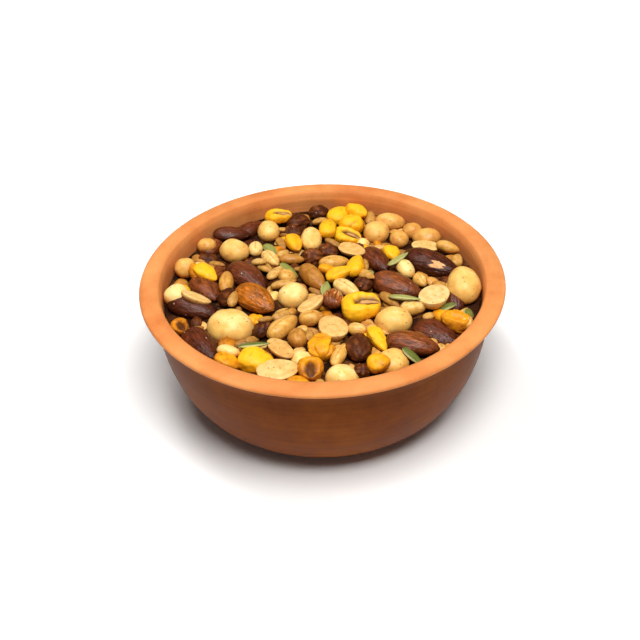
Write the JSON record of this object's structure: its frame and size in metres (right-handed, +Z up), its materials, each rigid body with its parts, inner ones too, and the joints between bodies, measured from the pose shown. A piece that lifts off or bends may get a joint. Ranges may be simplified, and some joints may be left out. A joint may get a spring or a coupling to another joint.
{
  "type": "bowl of trail mix",
  "caption": "Round terracotta bowl with a rolled lip, filled to just under the rim with mixed nuts, corn nuts, raisins and seeds.",
  "frame": {"origin": "middle of the bowl's foot, on the surface that it stands on", "axes": "+Z up out of the bowl's mouth, -Y towards the side that the mix was arranged to be seen from, +X to the right of that"},
  "size_m": [0.14, 0.14, 0.0535],
  "materials": {
    "terracotta": "matt fired clay, orange at the lip and darker brown on the outside",
    "trail_mix": "roasted and lightly oiled nuts, seeds and dried fruit"
  },
  "bodies": {
    "root": {"bowl": "terracotta", "trail_mix": "trail_mix"}
  },
  "joints": []
}
